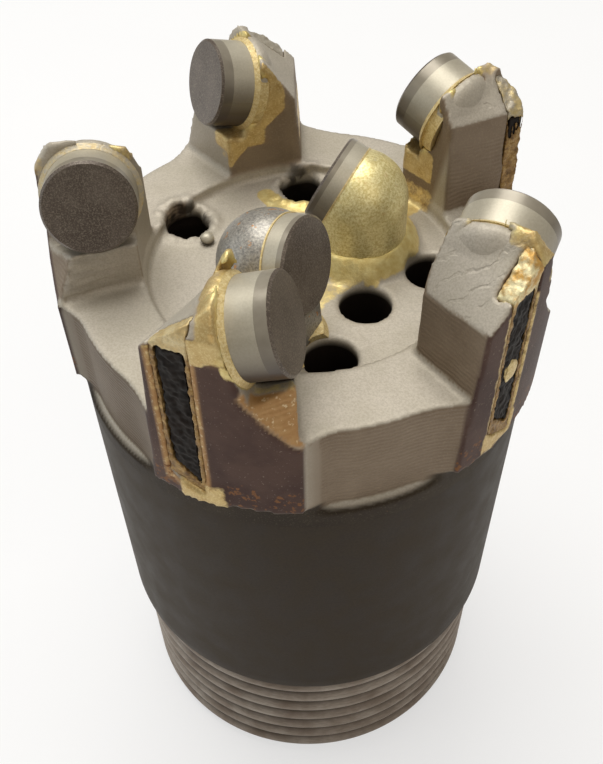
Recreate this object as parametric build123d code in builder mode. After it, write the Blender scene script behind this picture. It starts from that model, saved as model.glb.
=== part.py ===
from build123d import *
import math
import os

os.makedirs("parts", exist_ok=True)

# ---- driving dimensions, millimetres and degrees; Z runs from the pin end to the face ----
pin_length = 34.2
pin_radius = 35.2
body_radius = 36.5
face_height = 106.7
crown_radius = 37.85
crown_drop = 14.7
slot_drop = 16.4
slot_depth = 2.7
slot_rise = [0.85, 1.05]
slot_fall = [0.7, 0.55]
slot_clear = 6.15
recess_gap = 0.4
recess_depth = 1.8
chamber_radius = 27.0
face_plate = 10.2
port_radius = 4.0
port_insets = [4.1, 2.331, 4.03, 11.643, 4.626]
port_degs = [90.0, 149.349, 279.369, 315.32, 355.043]

# blades
blade_angles = [193.0, 265.9, 337.8, 49.4, 120.5]
trailing_degs = [31.0, 30.5, 32.5, 26.5, 30.5]
trailing_lean = 4.0
blade_depth = 13.15
front_inner = (0.29, -0.57)
front_outer = (-0.03, 1.59)
section_inner = 2.7
section_outer = 2.15
ridge_inner = (-7.3, 18.6)
ridge_outer = (-9.8, 21.2)
fall_inner = 1.37
fall_outer = 0.57
bevel_rise = 17.4
bevel_run = 2.4
bevel_height = 2.9

# cutters on the blades
cutter_radius = 6.72
cutter_length = 8.0
table_thickness = 2.0
table_chamfer = 0.35
cutter_inset = 7.5
cutter_rise = 15.0
back_rake = 16.6
side_rake = 5.45
exposed = 6.3
shelf_gap = 0.35
relief_width = 14.6
relief_top = 9.0
braze_film = 0.15
braze_bead = 0.7

# gauge inserts
insert_setbacks = [13.995, 14.362, 13.564, 13.995, 13.995]
groove_width = 5.8
groove_depth = 3.0
insert_width = 4.1
insert_depth = 2.5
insert_sink = 0.2
insert_top = 14.3
groove_low = (-10.5, -13.6)
insert_low = (-7.5, -11.2)

# studs inside the recess; a disc face lies this far inside the ring of the outer cutters
stud_radius = 7.25
stud_setback = 2.6
stud_film = 0.15
stud_fillet = [0.8, 1.0]
disc_length = 3.1
disc_table = 1.1
disc_film = 0.25
disc_film_radius = 6.85
disc_spacings = [12.745, 22.473]
disc_degs = [271.302, 61.157]
disc_rises = [13.1, 10.1]
disc_facing = [332.6, 155.5]
disc_rake = [13.0, 24.5]

# room that cutting tools take beyond the metal
tool_width = 60.0
tool_depth = 40.0
tool_height = 30.0
tool_reach = 7.15

crown_low = face_height - crown_drop
slot_low = face_height - slot_drop
slot_floor_radius = crown_radius - slot_depth
blade_inner_radius = crown_radius - blade_depth
cutter_ring = crown_radius - cutter_inset
recess_radius = blade_inner_radius - recess_gap
recess_floor = face_height - recess_depth
chamber_top = recess_floor - face_plate
outside = crown_radius + tool_reach
insert_degs = [-math.degrees(math.asin(setback / crown_radius)) for setback in insert_setbacks]


def at(radius, degrees, height=0.0):
    """A point given by radius and angle round the bit's axis."""
    angle = math.radians(degrees)
    return Vector(radius * math.cos(angle), radius * math.sin(angle), height)


port_centres = [at(recess_radius - port_insets[i], port_degs[i]) for i in range(5)]


def facing(degrees, rake):
    """The outward normal of a cutter face."""
    flat = math.cos(math.radians(rake))
    return at(flat, degrees, math.sin(math.radians(rake)))


def cutter_plane(centre, degrees, rake):
    """Plane of a cutter face: X to the side, Y up the face, Z out of the face."""
    side = at(1.0, degrees + 90.0)
    return Plane(origin=centre, x_dir=side, z_dir=facing(degrees, rake))


# ---- one cutter seat, for the blade whose face lies at angle zero ----
seat_normal = 90.0 - side_rake
seat = cutter_plane((cutter_ring, 0, face_height + cutter_rise), seat_normal, back_rake)


def front_y(x):
    """Where the blade's front face stands at the distance x from the axis."""
    near = blade_inner_radius + front_inner[0]
    far = crown_radius + front_outer[0]
    run = (front_outer[1] - front_inner[1]) / (far - near)
    return front_inner[1] + run * (x - near)


def blade_section(x, ridge, fall, trailing_deg):
    """Outline of a blade across its length: front, ridge and sloping back."""
    reach = -x * math.tan(math.radians(trailing_deg + 3.0))
    drop = fall * (ridge[0] - reach)
    front = front_y(x)
    with BuildSketch(Plane(origin=(x, 0, face_height), x_dir=(0, 1, 0), z_dir=(1, 0, 0))) as outline:
        with BuildLine():
            Polyline(
                (front, -crown_drop),
                (front, ridge[1] + 0.3),
                (ridge[0], ridge[1]),
                (reach, ridge[1] - drop),
                (reach, -crown_drop),
                close=True,
            )
        make_face()
    return outline.sketch


def make_blade(trailing_deg):
    """One blade with its face at angle zero, from the crown's lower edge to the ridge."""
    near = blade_inner_radius - section_inner
    far = crown_radius + section_outer
    inner = blade_section(near, ridge_inner, fall_inner, trailing_deg)
    outer = blade_section(far, ridge_outer, fall_outer, trailing_deg)
    lean = math.radians(trailing_lean)
    along = at(1.0, -trailing_deg)
    across = at(1.0, -trailing_deg - 90.0)
    back = Plane(
        origin=(0, 0, face_height),
        x_dir=along,
        z_dir=across * math.cos(lean) + Vector(0, 0, 1) * math.sin(lean),
    )
    with BuildPart() as blade:
        loft([inner.face(), outer.face()], ruled=True)
        with BuildSketch(Plane.XY.offset(crown_low)):
            Circle(crown_radius)
            Circle(blade_inner_radius, mode=Mode.SUBTRACT)
        extrude(amount=tool_width, mode=Mode.INTERSECT)
        split(bisect_by=back, keep=Keep.BOTTOM)
        # bevel between the gauge face and the ridge
        with BuildSketch(Plane.XZ):
            with BuildLine():
                Polyline(
                    (crown_radius + bevel_run, face_height + bevel_rise - bevel_height),
                    (crown_radius - 2 * bevel_run, face_height + bevel_rise + 2 * bevel_height),
                    (crown_radius + bevel_run, face_height + bevel_rise + 2 * bevel_height),
                    close=True,
                )
            make_face()
        revolve(axis=Axis.Z, mode=Mode.SUBTRACT)
    return blade.part


def make_step():
    """The room cut out of a blade in front of the collar and above the shelf."""
    with BuildPart() as step:
        with Locations(seat.location):
            with Locations((0, -cutter_radius - shelf_gap, -exposed)):
                Box(
                    tool_width,
                    tool_depth,
                    tool_height,
                    align=(Align.CENTER, Align.MIN, Align.MIN),
                )
    return step.part


def make_socket():
    """The round pocket behind the collar that holds a cutter."""
    with BuildPart() as socket:
        with Locations(seat.location):
            with Locations((0, 0, -cutter_length - braze_film)):
                Cylinder(
                    cutter_radius + braze_film,
                    cutter_length - exposed + braze_film,
                    align=(Align.CENTER, Align.CENTER, Align.MIN),
                )
    return socket.part


def make_relief():
    """The slanting scoop below a cutter, at the outer front corner of its blade."""
    with BuildPart() as relief:
        with Locations((crown_radius + section_outer, 0, face_height)):
            Box(
                relief_width,
                relief_width,
                relief_top,
                align=(Align.CENTER, Align.CENTER, Align.MIN),
            )
        slope = Vector(2.5, 1.05, 1.0)
        split(bisect_by=Plane(origin=(crown_radius, 0, face_height), z_dir=slope), keep=Keep.TOP)
    return relief.part


def gauge_plane():
    """Plane standing outside the gauge face over an insert, Z towards the axis."""
    outward = at(1.0, 0.0)
    return Plane(
        origin=outward * outside + Vector(0, 0, face_height),
        x_dir=at(1.0, 90.0),
        z_dir=outward * -1.0,
    )


def gauge_prism(width, low, top, near, far):
    """A prism in the gauge face, slanted at its lower end, between two radii."""
    half = width / 2
    plane = gauge_plane()
    flip = plane.y_dir.Z
    with BuildPart() as prism:
        with BuildSketch(plane.offset(outside - near)):
            with BuildLine():
                Polyline(
                    (-half, top * flip),
                    (half, top * flip),
                    (half, low[1] * flip),
                    (-half, low[0] * flip),
                    close=True,
                )
            make_face()
        extrude(amount=near - far)
    return prism.part


def turned(shape, degrees):
    """A copy turned round the bit's axis."""
    return shape.rotate(Axis.Z, degrees)


step_tool = make_step()
socket_tool = make_socket()
groove_tool = gauge_prism(groove_width, groove_low, tool_height, outside, crown_radius - groove_depth)
relief_tool = make_relief()
blades = [make_blade(trailing) - step_tool - relief_tool for trailing in trailing_degs]


def slot_points(first, last):
    """The curved ends of one junk slot, seen from the face."""
    start = [
        at(crown_radius + slot_rise[0], first + 0.9),
        at(slot_floor_radius + slot_rise[1], first + 5.7),
        at(slot_floor_radius, first + 10.1),
    ]
    end = [
        at(slot_floor_radius, last - 12.0),
        at(slot_floor_radius + slot_fall[0], last - 5.9),
        at(crown_radius + slot_fall[1], last + 1.3),
    ]
    return start, end


# ---- the machined steel body ----
with BuildPart() as bit_body:
    with BuildSketch(Plane.XY):
        Circle(pin_radius)
    extrude(amount=pin_length)
    with BuildSketch(Plane.XY.offset(pin_length)):
        Circle(body_radius)
    extrude(amount=crown_low - pin_length)
    with BuildSketch(Plane.XY.offset(crown_low)):
        Circle(crown_radius)
    extrude(amount=crown_drop)
    # junk slots between the blades
    for i in range(5):
        lead = blade_angles[i]
        trail = blade_angles[(i + 1) % 5] - trailing_degs[(i + 1) % 5]
        if trail < lead:
            trail = trail + 360.0
        start, end = slot_points(lead, trail)
        middle = (lead + trail) / 2
        with BuildSketch(Plane.XY.offset(slot_low)):
            with BuildLine():
                ThreePointArc(start[0], start[1], start[2])
                ThreePointArc(start[2], at(slot_floor_radius, middle), end[0])
                ThreePointArc(end[0], end[1], end[2])
                Polyline(
                    end[2],
                    at(crown_radius + slot_clear, trail),
                    at(outside + 1.0, middle),
                    at(crown_radius + slot_clear, lead),
                    start[0],
                )
            make_face()
        extrude(amount=slot_drop, mode=Mode.SUBTRACT)
    # blades
    for i in range(5):
        add(turned(blades[i], blade_angles[i]))
    # cutter pockets and insert grooves
    for i in range(5):
        add(turned(socket_tool, blade_angles[i]), mode=Mode.SUBTRACT)
        add(turned(groove_tool, blade_angles[i] + insert_degs[i]), mode=Mode.SUBTRACT)
    # round recess in the face, flow chamber and water ports
    with BuildSketch(Plane.XY.offset(recess_floor)):
        Circle(recess_radius)
    extrude(amount=recess_depth, mode=Mode.SUBTRACT)
    with BuildSketch(Plane.XY):
        Circle(chamber_radius)
    extrude(amount=chamber_top, mode=Mode.SUBTRACT)
    for centre in port_centres:
        with BuildSketch(Plane.XY.offset(chamber_top - 1)):
            with Locations((centre.X, centre.Y)):
                Circle(port_radius)
        extrude(amount=face_plate + 4, mode=Mode.SUBTRACT)
bit_body.part.label = "bit_body"
export_step(bit_body.part, "parts/bit_body.step")

# ---- cutters on the blades ----
substrate_length = cutter_length - table_thickness
with BuildPart() as substrate:
    with Locations(seat.location):
        with Locations((0, 0, -cutter_length)):
            Cylinder(
                cutter_radius,
                substrate_length,
                align=(Align.CENTER, Align.CENTER, Align.MIN),
            )

with BuildPart() as table:
    with Locations(seat.location):
        with Locations((0, 0, -table_thickness)):
            Cylinder(
                cutter_radius,
                table_thickness,
                align=(Align.CENTER, Align.CENTER, Align.MIN),
            )
    front_edge = table.edges().sort_by(Axis(seat.origin, seat.z_dir))[-1]
    chamfer(front_edge, table_chamfer)

with BuildPart() as seat_braze:
    with Locations(seat.location):
        # film round the buried end
        with Locations((0, 0, -cutter_length - braze_film)):
            Cylinder(
                cutter_radius + braze_film,
                cutter_length - exposed + braze_film,
                align=(Align.CENTER, Align.CENTER, Align.MIN),
            )
        # bead at the mouth of the pocket
        with Locations((0, 0, -exposed)):
            Cone(
                cutter_radius + braze_bead,
                cutter_radius + 0.05,
                braze_bead,
                align=(Align.CENTER, Align.CENTER, Align.MIN),
            )
        with Locations((0, 0, -cutter_length)):
            Cylinder(
                cutter_radius,
                cutter_length + 2,
                align=(Align.CENTER, Align.CENTER, Align.MIN),
                mode=Mode.SUBTRACT,
            )
        # the bead stops at the shelf
        with Locations((0, -cutter_radius - shelf_gap, -exposed)):
            Box(
                tool_width,
                tool_depth,
                tool_height,
                align=(Align.CENTER, Align.MAX, Align.MIN),
                mode=Mode.SUBTRACT,
            )
    with BuildSketch(Plane.XY.offset(crown_low)):
        Circle(crown_radius)
    extrude(amount=tool_width, mode=Mode.INTERSECT)

for i in range(5):
    for stem, piece in (
        ("substrate", substrate.part),
        ("diamond_table", table.part),
        ("braze", seat_braze.part),
    ):
        placed = turned(piece, blade_angles[i])
        placed.label = "outer_cutter_" + str(i + 1) + "_" + stem
        export_step(placed, "parts/" + placed.label + ".step")

# ---- gauge inserts and the braze that fills their grooves ----
insert_outer = crown_radius - insert_sink
insert_inner = insert_outer - insert_depth
insert_tool = gauge_prism(insert_width, insert_low, insert_top, outside, insert_inner)
with BuildPart() as insert:
    add(insert_tool)
    with BuildSketch(Plane.XY.offset(crown_low)):
        Circle(insert_outer)
    extrude(amount=tool_width, mode=Mode.INTERSECT)

for i in range(5):
    with BuildPart() as insert_braze:
        add(blades[i])
        add(turned(groove_tool, insert_degs[i]), mode=Mode.INTERSECT)
        with BuildSketch(Plane.XY.offset(crown_low)):
            Circle(crown_radius - 0.05)
        extrude(amount=tool_width, mode=Mode.INTERSECT)
        add(turned(insert_tool, insert_degs[i]), mode=Mode.SUBTRACT)
        add(socket_tool, mode=Mode.SUBTRACT)
    placed = turned(insert_braze.part, blade_angles[i])
    placed.label = "gauge_insert_" + str(i + 1) + "_braze"
    export_step(placed, "parts/" + placed.label + ".step")
    placed = turned(insert.part, blade_angles[i] + insert_degs[i])
    placed.label = "gauge_insert_" + str(i + 1)
    export_step(placed, "parts/" + placed.label + ".step")

# ---- studs in the recess, each with its cutter disc ----
for i in range(2):
    normal = facing(disc_facing[i], disc_rake[i])
    centre = at(cutter_ring - disc_spacings[i], disc_degs[i], face_height + disc_rises[i])
    dome = centre - normal * (disc_length + disc_film + stud_setback)
    front = cutter_plane(centre, disc_facing[i], disc_rake[i])
    foot = recess_floor + stud_film
    with BuildPart() as stud:
        with BuildSketch(Plane.XY.offset(foot)):
            with Locations((dome.X, dome.Y)):
                Circle(stud_radius)
        extrude(amount=dome.Z - foot)
        with Locations((dome.X, dome.Y, dome.Z)):
            Sphere(stud_radius)
        with Locations(front.location):
            with Locations((0, 0, -disc_length - disc_film)):
                Box(
                    tool_depth,
                    tool_width,
                    tool_height,
                    align=(Align.CENTER, Align.CENTER, Align.MIN),
                    mode=Mode.SUBTRACT,
                )
        for hole in port_centres:
            with BuildSketch(Plane.XY.offset(recess_floor)):
                with Locations((hole.X, hole.Y)):
                    Circle(port_radius)
            extrude(amount=4, mode=Mode.SUBTRACT)
    with BuildPart() as skirt:
        with Locations((dome.X, dome.Y, recess_floor)):
            Cone(
                stud_radius + stud_fillet[i],
                stud_radius + 0.05,
                stud_fillet[i] + stud_film,
                align=(Align.CENTER, Align.CENTER, Align.MIN),
            )
        add(stud.part, mode=Mode.SUBTRACT)
        for hole in port_centres:
            with BuildSketch(Plane.XY.offset(recess_floor)):
                with Locations((hole.X, hole.Y)):
                    Circle(port_radius)
            extrude(amount=4, mode=Mode.SUBTRACT)
    with BuildPart() as disc_back:
        with Locations(front.location):
            with Locations((0, 0, -disc_length)):
                Cylinder(
                    cutter_radius,
                    disc_length - disc_table,
                    align=(Align.CENTER, Align.CENTER, Align.MIN),
                )
    with BuildPart() as disc_front:
        with Locations(front.location):
            with Locations((0, 0, -disc_table)):
                Cylinder(
                    cutter_radius,
                    disc_table,
                    align=(Align.CENTER, Align.CENTER, Align.MIN),
                )
        chamfer(disc_front.edges().sort_by(Axis(front.origin, front.z_dir))[-1], table_chamfer)
    with BuildPart() as disc_braze:
        with Locations(front.location):
            with Locations((0, 0, -disc_length - disc_film)):
                Cylinder(
                    disc_film_radius,
                    disc_film,
                    align=(Align.CENTER, Align.CENTER, Align.MIN),
                )
    for name, piece in (
        ("inner_post_" + str(i + 1), stud.part),
        ("inner_post_" + str(i + 1) + "_braze", skirt.part),
        ("inner_cutter_" + str(i + 1) + "_substrate", disc_back.part),
        ("inner_cutter_" + str(i + 1) + "_diamond_table", disc_front.part),
        ("inner_cutter_" + str(i + 1) + "_braze", disc_braze.part),
    ):
        piece.label = name
        export_step(piece, "parts/" + name + ".step")
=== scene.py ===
import math

import bmesh
import bpy
import numpy as np
from mathutils import Matrix, Vector, noise


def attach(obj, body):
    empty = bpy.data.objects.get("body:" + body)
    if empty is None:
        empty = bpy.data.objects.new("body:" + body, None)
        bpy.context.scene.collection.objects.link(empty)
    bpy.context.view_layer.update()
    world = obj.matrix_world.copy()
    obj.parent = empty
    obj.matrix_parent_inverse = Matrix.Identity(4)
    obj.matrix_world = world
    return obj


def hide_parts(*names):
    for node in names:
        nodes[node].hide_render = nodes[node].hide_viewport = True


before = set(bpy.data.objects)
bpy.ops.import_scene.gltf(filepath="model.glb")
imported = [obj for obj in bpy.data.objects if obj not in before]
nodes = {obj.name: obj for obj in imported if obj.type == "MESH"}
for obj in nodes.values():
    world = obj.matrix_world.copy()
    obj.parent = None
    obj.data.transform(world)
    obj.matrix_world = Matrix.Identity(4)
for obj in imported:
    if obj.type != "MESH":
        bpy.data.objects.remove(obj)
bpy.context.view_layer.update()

MM = 0.001

# Millimetres and degrees; z runs up from the pin's end, and the main sizes repeat the part's.
SHOULDER = 34.2
DECK = 106.7
RECESS_FLOOR = 104.9
BODY_R = 36.5
CROWN_R = 37.85
PIN_R = 35.2
CHAMBER_R = 27.0
BLADES = {"A": 193.0, "E": 265.9, "D": 337.8, "C": 49.4, "B": 120.5}
CUTTER_ORDER = "AEDCB"
CUTTER_RING = 30.35
CUTTER_RISE = 15.0
CUTTER_R = 6.72
BACK_RAKE = math.radians(16.6)
SIDE_RAKE = math.radians(5.45)
PORTS = [(0.0, 20.2), (-18.9, 11.2), (3.3, -20.0), (9.0, -8.9), (19.6, -1.7)]
# each stud: centre of its cutter's face over the deck, bearing and tilt of that face
STUDS = [((0.4, -17.6, 13.1), 332.6, 13.0), ((3.8, 6.9, 10.1), 155.5, 24.5)]
# from that face back to the middle of the dome
DISC_LENGTH = 3.1
DISC_FILM = 0.25
STUD_SETBACK = 2.6
STUD_BACK = DISC_LENGTH + DISC_FILM + STUD_SETBACK
POOL_INNER_R = 7.3
POOL_HEIGHT = 3.0

# the crown's skin starts at the seam, the shank's ends there
SEAM = 87.0
SEAM_LAP = 0.05
CROWN_VOXEL = 0.50
INSERT_VOXEL = 0.24
INSERT_BRAZE_VOXEL = 0.26
# how far braze may stand out past the crown's radius
CROWN_SWELL = 0.5
CAP_RISE = 0.75
# points closer than this, in metres, are one
WELD = 2e-6

# the thread
PITCH = 4.2333
ROOT_R = 33.35
THREAD_TOP = SHOULDER - 1.6
THREAD_LOW = 0.9

# braze drop on blade D's insert: bearing behind the blade and height over the deck
BLOB_TURN = 21.0
BLOB_RISE = 1.0

# wear, braze, painted shade and painted highlight on the crown, each a share from 0 to 1 at every point
MASKS = ("gold", "bright", "dark", "purple", "orange", "brown", "rust", "mill", "crease", "soot")
# dark tones of the neck and shank: darker steel with painted shade under the crown in them
DARK_STEEL_AND_SHADE = ((0.021, 0.012, 0.005), (0.036, 0.024, 0.011))


# ---- camera and backdrop -------------------------------------------------------------
def make_camera():
    """The camera at the height and tilt from which the bit is seen."""
    pitch, roll = math.radians(47.44), math.radians(1.21)
    right = Vector((1, 0, 0))
    forward = Vector((0, math.cos(pitch), -math.sin(pitch)))
    up = Vector((0, math.sin(pitch), math.cos(pitch)))
    right_turned = right * math.cos(roll) - up * math.sin(roll)
    up_turned = right * math.sin(roll) + up * math.cos(roll)
    data = bpy.data.cameras.new("camera")
    data.sensor_fit = "VERTICAL"
    data.sensor_height = 36.0
    data.lens = 43.88
    data.clip_start = 0.005
    camera = bpy.data.objects.new("camera", data)
    bpy.context.scene.collection.objects.link(camera)
    turn = Matrix((right_turned, up_turned, -forward)).transposed().to_4x4()
    camera.matrix_world = Matrix.Translation((-0.82 * MM, -111.5 * MM, 199.6 * MM)) @ turn
    bpy.context.scene.camera = camera


def make_lamp(name, spot, target, size, power, colour):
    """A soft square lamp that looks at a target."""
    data = bpy.data.lights.new(name, "AREA")
    data.shape = "SQUARE"
    data.size = size
    data.energy = power
    data.color = colour
    lamp = bpy.data.objects.new(name, data)
    bpy.context.scene.collection.objects.link(lamp)
    aim = Vector(target) - Vector(spot)
    lamp.matrix_world = Matrix.Translation(spot) @ aim.to_track_quat("-Z", "Y").to_matrix().to_4x4()


def make_world():
    """White behind the object, and a plain grey room around it."""
    world = bpy.data.worlds.new("room")
    bpy.context.scene.world = world
    world.use_nodes = True
    tree = world.node_tree
    tree.nodes.clear()
    out = tree.nodes.new("ShaderNodeOutputWorld")
    mix = tree.nodes.new("ShaderNodeMixShader")
    room = tree.nodes.new("ShaderNodeBackground")
    room.inputs["Color"].default_value = (1.0, 0.95, 0.88, 1)
    room.inputs["Strength"].default_value = 0.26
    white = tree.nodes.new("ShaderNodeBackground")
    white.inputs["Color"].default_value = (1, 1, 1, 1)
    white.inputs["Strength"].default_value = 1.0
    path = tree.nodes.new("ShaderNodeLightPath")
    tree.links.new(path.outputs["Is Camera Ray"], mix.inputs[0])
    tree.links.new(room.outputs[0], mix.inputs[1])
    tree.links.new(white.outputs[0], mix.inputs[2])
    tree.links.new(mix.outputs[0], out.inputs["Surface"])


# ---- materials -----------------------------------------------------------------------
class Maker:
    """A short way to build node materials."""

    def __init__(self, name):
        self.material = bpy.data.materials.new(name)
        self.material.use_nodes = True
        self.tree = self.material.node_tree
        self.tree.nodes.clear()
        self.out = self.add("ShaderNodeOutputMaterial")
        self.shader = self.add("ShaderNodeBsdfPrincipled")
        self.link(self.shader.outputs[0], self.out.inputs["Surface"])
        self.place = self.add("ShaderNodeTexCoord").outputs["Object"]

    def add(self, kind, **values):
        node = self.tree.nodes.new(kind)
        for key, value in values.items():
            setattr(node, key, value)
        return node

    def link(self, a, b):
        self.tree.links.new(a, b)

    def put(self, socket, value):
        if isinstance(value, bpy.types.NodeSocket):
            self.link(value, socket)
        elif isinstance(value, tuple) and len(value) == 3 and socket.type == "RGBA":
            socket.default_value = (*value, 1)
        else:
            socket.default_value = value

    def noise(self, size, detail=3.0, rough=0.55, stretch=None):
        """Noise whose features are about size millimetres."""
        node = self.add("ShaderNodeTexNoise")
        place = self.place
        if stretch:
            mapping = self.add("ShaderNodeMapping")
            mapping.inputs["Scale"].default_value = stretch
            self.link(place, mapping.inputs["Vector"])
            place = mapping.outputs["Vector"]
        self.link(place, node.inputs["Vector"])
        node.inputs["Scale"].default_value = 1000.0 / size
        node.inputs["Detail"].default_value = detail
        node.inputs["Roughness"].default_value = rough
        return node.outputs["Fac"]

    def bands(self, direction, scale, distortion, detail, detail_scale):
        """Wavering parallel lines across one axis."""
        node = self.add("ShaderNodeTexWave", wave_type="BANDS", bands_direction=direction, wave_profile="SIN")
        self.link(self.place, node.inputs["Vector"])
        node.inputs["Scale"].default_value = scale
        node.inputs["Distortion"].default_value = distortion
        node.inputs["Detail"].default_value = detail
        node.inputs["Detail Scale"].default_value = detail_scale
        return node.outputs["Fac"]

    def ramp(self, value, low, high, start=0.0, end=1.0):
        """A value turned from the range low to high into the range start to end."""
        node = self.add("ShaderNodeMapRange")
        node.clamp = True
        self.put(node.inputs["Value"], value)
        node.inputs["From Min"].default_value = low
        node.inputs["From Max"].default_value = high
        node.inputs["To Min"].default_value = start
        node.inputs["To Max"].default_value = end
        return node.outputs["Result"]

    def math(self, kind, a, b=0.0):
        node = self.add("ShaderNodeMath", operation=kind)
        self.put(node.inputs[0], a)
        self.put(node.inputs[1], b)
        return node.outputs[0]

    def mix(self, factor, a, b):
        """Colour a, turning into colour b."""
        node = self.add("ShaderNodeMix", data_type="RGBA")
        self.put(node.inputs["Factor"], factor)
        self.put(node.inputs[6], a)
        self.put(node.inputs[7], b)
        return node.outputs[2]

    def blend(self, factor, a, b):
        """Number a, turning into number b."""
        node = self.add("ShaderNodeMix", data_type="FLOAT")
        self.put(node.inputs["Factor"], factor)
        self.put(node.inputs[2], a)
        self.put(node.inputs[3], b)
        return node.outputs[0]

    def attribute(self, name):
        node = self.add("ShaderNodeAttribute", attribute_name=name)
        return node.outputs["Fac"]

    def facing(self, direction):
        """How far the surface looks in a direction of the object's own frame."""
        node = self.add("ShaderNodeVectorMath", operation="DOT_PRODUCT")
        self.link(self.add("ShaderNodeNewGeometry").outputs["Normal"], node.inputs[0])
        node.inputs[1].default_value = direction
        return node.outputs["Value"]

    def bump(self, height, strength, depth, before=None):
        node = self.add("ShaderNodeBump")
        self.put(node.inputs["Height"], height)
        self.put(node.inputs["Strength"], strength)
        node.inputs["Distance"].default_value = depth * MM
        if before is not None:
            self.link(before, node.inputs["Normal"])
        return node.outputs["Normal"]

    def finish(self, colour, roughness, metallic, normal=None, **extra):
        self.put(self.shader.inputs["Base Color"], colour)
        self.put(self.shader.inputs["Roughness"], roughness)
        self.put(self.shader.inputs["Metallic"], metallic)
        if normal is not None:
            self.link(normal, self.shader.inputs["Normal"])
        for key, value in extra.items():
            self.put(self.shader.inputs[key.replace("_", " ")], value)
        return self.material


def painted_steel():
    """The body: sandblasted steel, darkened partly by painted shade, rusted and brazed where the masks say.
    """
    m = Maker("steel")
    grain = m.noise(0.30, 3.0, 0.7)
    cloud = m.noise(9.0, 3.0, 0.6)
    patch = m.noise(1.6, 4.0, 0.65)
    light = m.mix(m.ramp(cloud, 0.35, 0.65), (0.46, 0.42, 0.34), (0.52, 0.475, 0.40))
    light = m.mix(m.ramp(grain, 0.42, 0.60, 0.0, 0.42), light, (0.32, 0.28, 0.225))
    # the browner tone of the walls, partly the steel's own and partly painted shade
    brown = m.mix(m.ramp(cloud, 0.35, 0.65), (0.18, 0.125, 0.080), (0.235, 0.175, 0.118))
    brown = m.mix(m.ramp(grain, 0.48, 0.66, 0.0, 0.35), brown, (0.36, 0.29, 0.20))
    colour = m.mix(m.attribute("brown"), light, brown)
    # the dark neck: darker steel and painted shade under the crown
    dark = m.mix(m.ramp(cloud, 0.35, 0.65), *DARK_STEEL_AND_SHADE)
    dark = m.mix(m.ramp(grain, 0.55, 0.72, 0.0, 0.5), dark, (0.12, 0.10, 0.065))
    colour = m.mix(m.attribute("dark"), colour, dark)
    purple = m.mix(m.ramp(cloud, 0.40, 0.60), (0.060, 0.030, 0.024), (0.090, 0.050, 0.038))
    fleck = m.ramp(m.noise(0.35, 1.0, 0.5), 0.68, 0.76, 0.0, 0.5)
    purple = m.mix(fleck, purple, (0.30, 0.25, 0.19))
    colour = m.mix(m.attribute("purple"), colour, purple)
    orange = m.mix(m.ramp(patch, 0.30, 0.70), (0.42, 0.225, 0.085), (0.52, 0.32, 0.14))
    orange = m.mix(m.ramp(m.noise(0.6, 2.0), 0.60, 0.68, 0.0, 0.7), orange, (0.80, 0.66, 0.42))
    colour = m.mix(m.attribute("orange"), colour, orange)
    freckle = m.ramp(m.math("MULTIPLY", m.noise(0.9, 2.0), m.attribute("rust")), 0.56, 0.63)
    colour = m.mix(freckle, colour, (0.20, 0.085, 0.030))
    edge = m.math("ADD", m.attribute("gold"), m.ramp(patch, 0.25, 0.75, -0.22, 0.22))
    gold_at = m.ramp(edge, 0.38, 0.66)
    tone = m.mix(m.ramp(patch, 0.30, 0.70), (0.50, 0.33, 0.12), (0.66, 0.51, 0.24))
    tone = m.mix(m.ramp(grain, 0.48, 0.66, 0.0, 0.6), tone, (0.80, 0.68, 0.36))
    # brighter braze; on E's shelf edge and at the front of D's bevel it is a painted highlight
    bright = m.mix(m.ramp(patch, 0.30, 0.70), (0.66, 0.50, 0.17), (0.85, 0.74, 0.36))
    tone = m.mix(m.attribute("bright"), tone, bright)
    colour = m.mix(gold_at, colour, tone)
    # near black where the mask says: painted shadow and shade, and dark patches on the slag round the ports
    colour = m.mix(m.attribute("soot"), colour, (0.020, 0.014, 0.010))
    bare = m.blend(m.attribute("dark"), 0.55, 0.62)
    rough = m.blend(gold_at, bare, 0.42)
    metallic = m.blend(gold_at, m.blend(m.attribute("dark"), 0.30, 0.0), 0.55)
    normal = m.bump(grain, 0.32, 0.10)
    normal = m.bump(m.noise(0.8, 4.0, 0.65), m.blend(gold_at, 0.10, 0.45), 0.25, normal)
    milled = m.bands("Z", 420.0, 6.0, 3.0, 0.55)
    normal = m.bump(milled, m.ramp(m.attribute("mill"), 0, 1, 0, 0.26), 0.30, normal)
    folds = m.ramp(m.bands("Y", 130.0, 6.0, 4.0, 1.6), 0.0, 0.14)
    gaps = m.ramp(m.noise(3.0, 2.0), 0.42, 0.55, 1.0, 0.0)
    line = m.math("MAXIMUM", folds, gaps)
    normal = m.bump(line, m.ramp(m.attribute("crease"), 0, 1, 0, 0.55), 0.16, normal)
    return m.finish(colour, rough, metallic, normal, Specular_IOR_Level=0.25)


def plain_metal(name, tones, rough, metallic, grain, bump, gloss=0.5, under=None):
    """Metal with fine grain and slow changes of tone; under is a tone of painted shade where it faces down.
    """
    m = Maker(name)
    fine = m.noise(grain, 4.0, 0.7)
    cloud = m.noise(5.0, 3.0)
    both = m.math("ADD", m.math("MULTIPLY", fine, 0.5), m.math("MULTIPLY", cloud, 0.5))
    colour = m.mix(m.ramp(both, 0.38, 0.62), *tones)
    # painted shade: darker where the surface faces down
    if under:
        colour = m.mix(m.ramp(m.facing((0, 0, 1)), -0.30, 0.55), under, colour)
    normal = m.bump(fine, bump, 0.08)
    roughness = m.ramp(cloud, 0.3, 0.7, rough - 0.06, rough + 0.06)
    return m.finish(colour, roughness, metallic, normal, Specular_IOR_Level=gloss)


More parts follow.
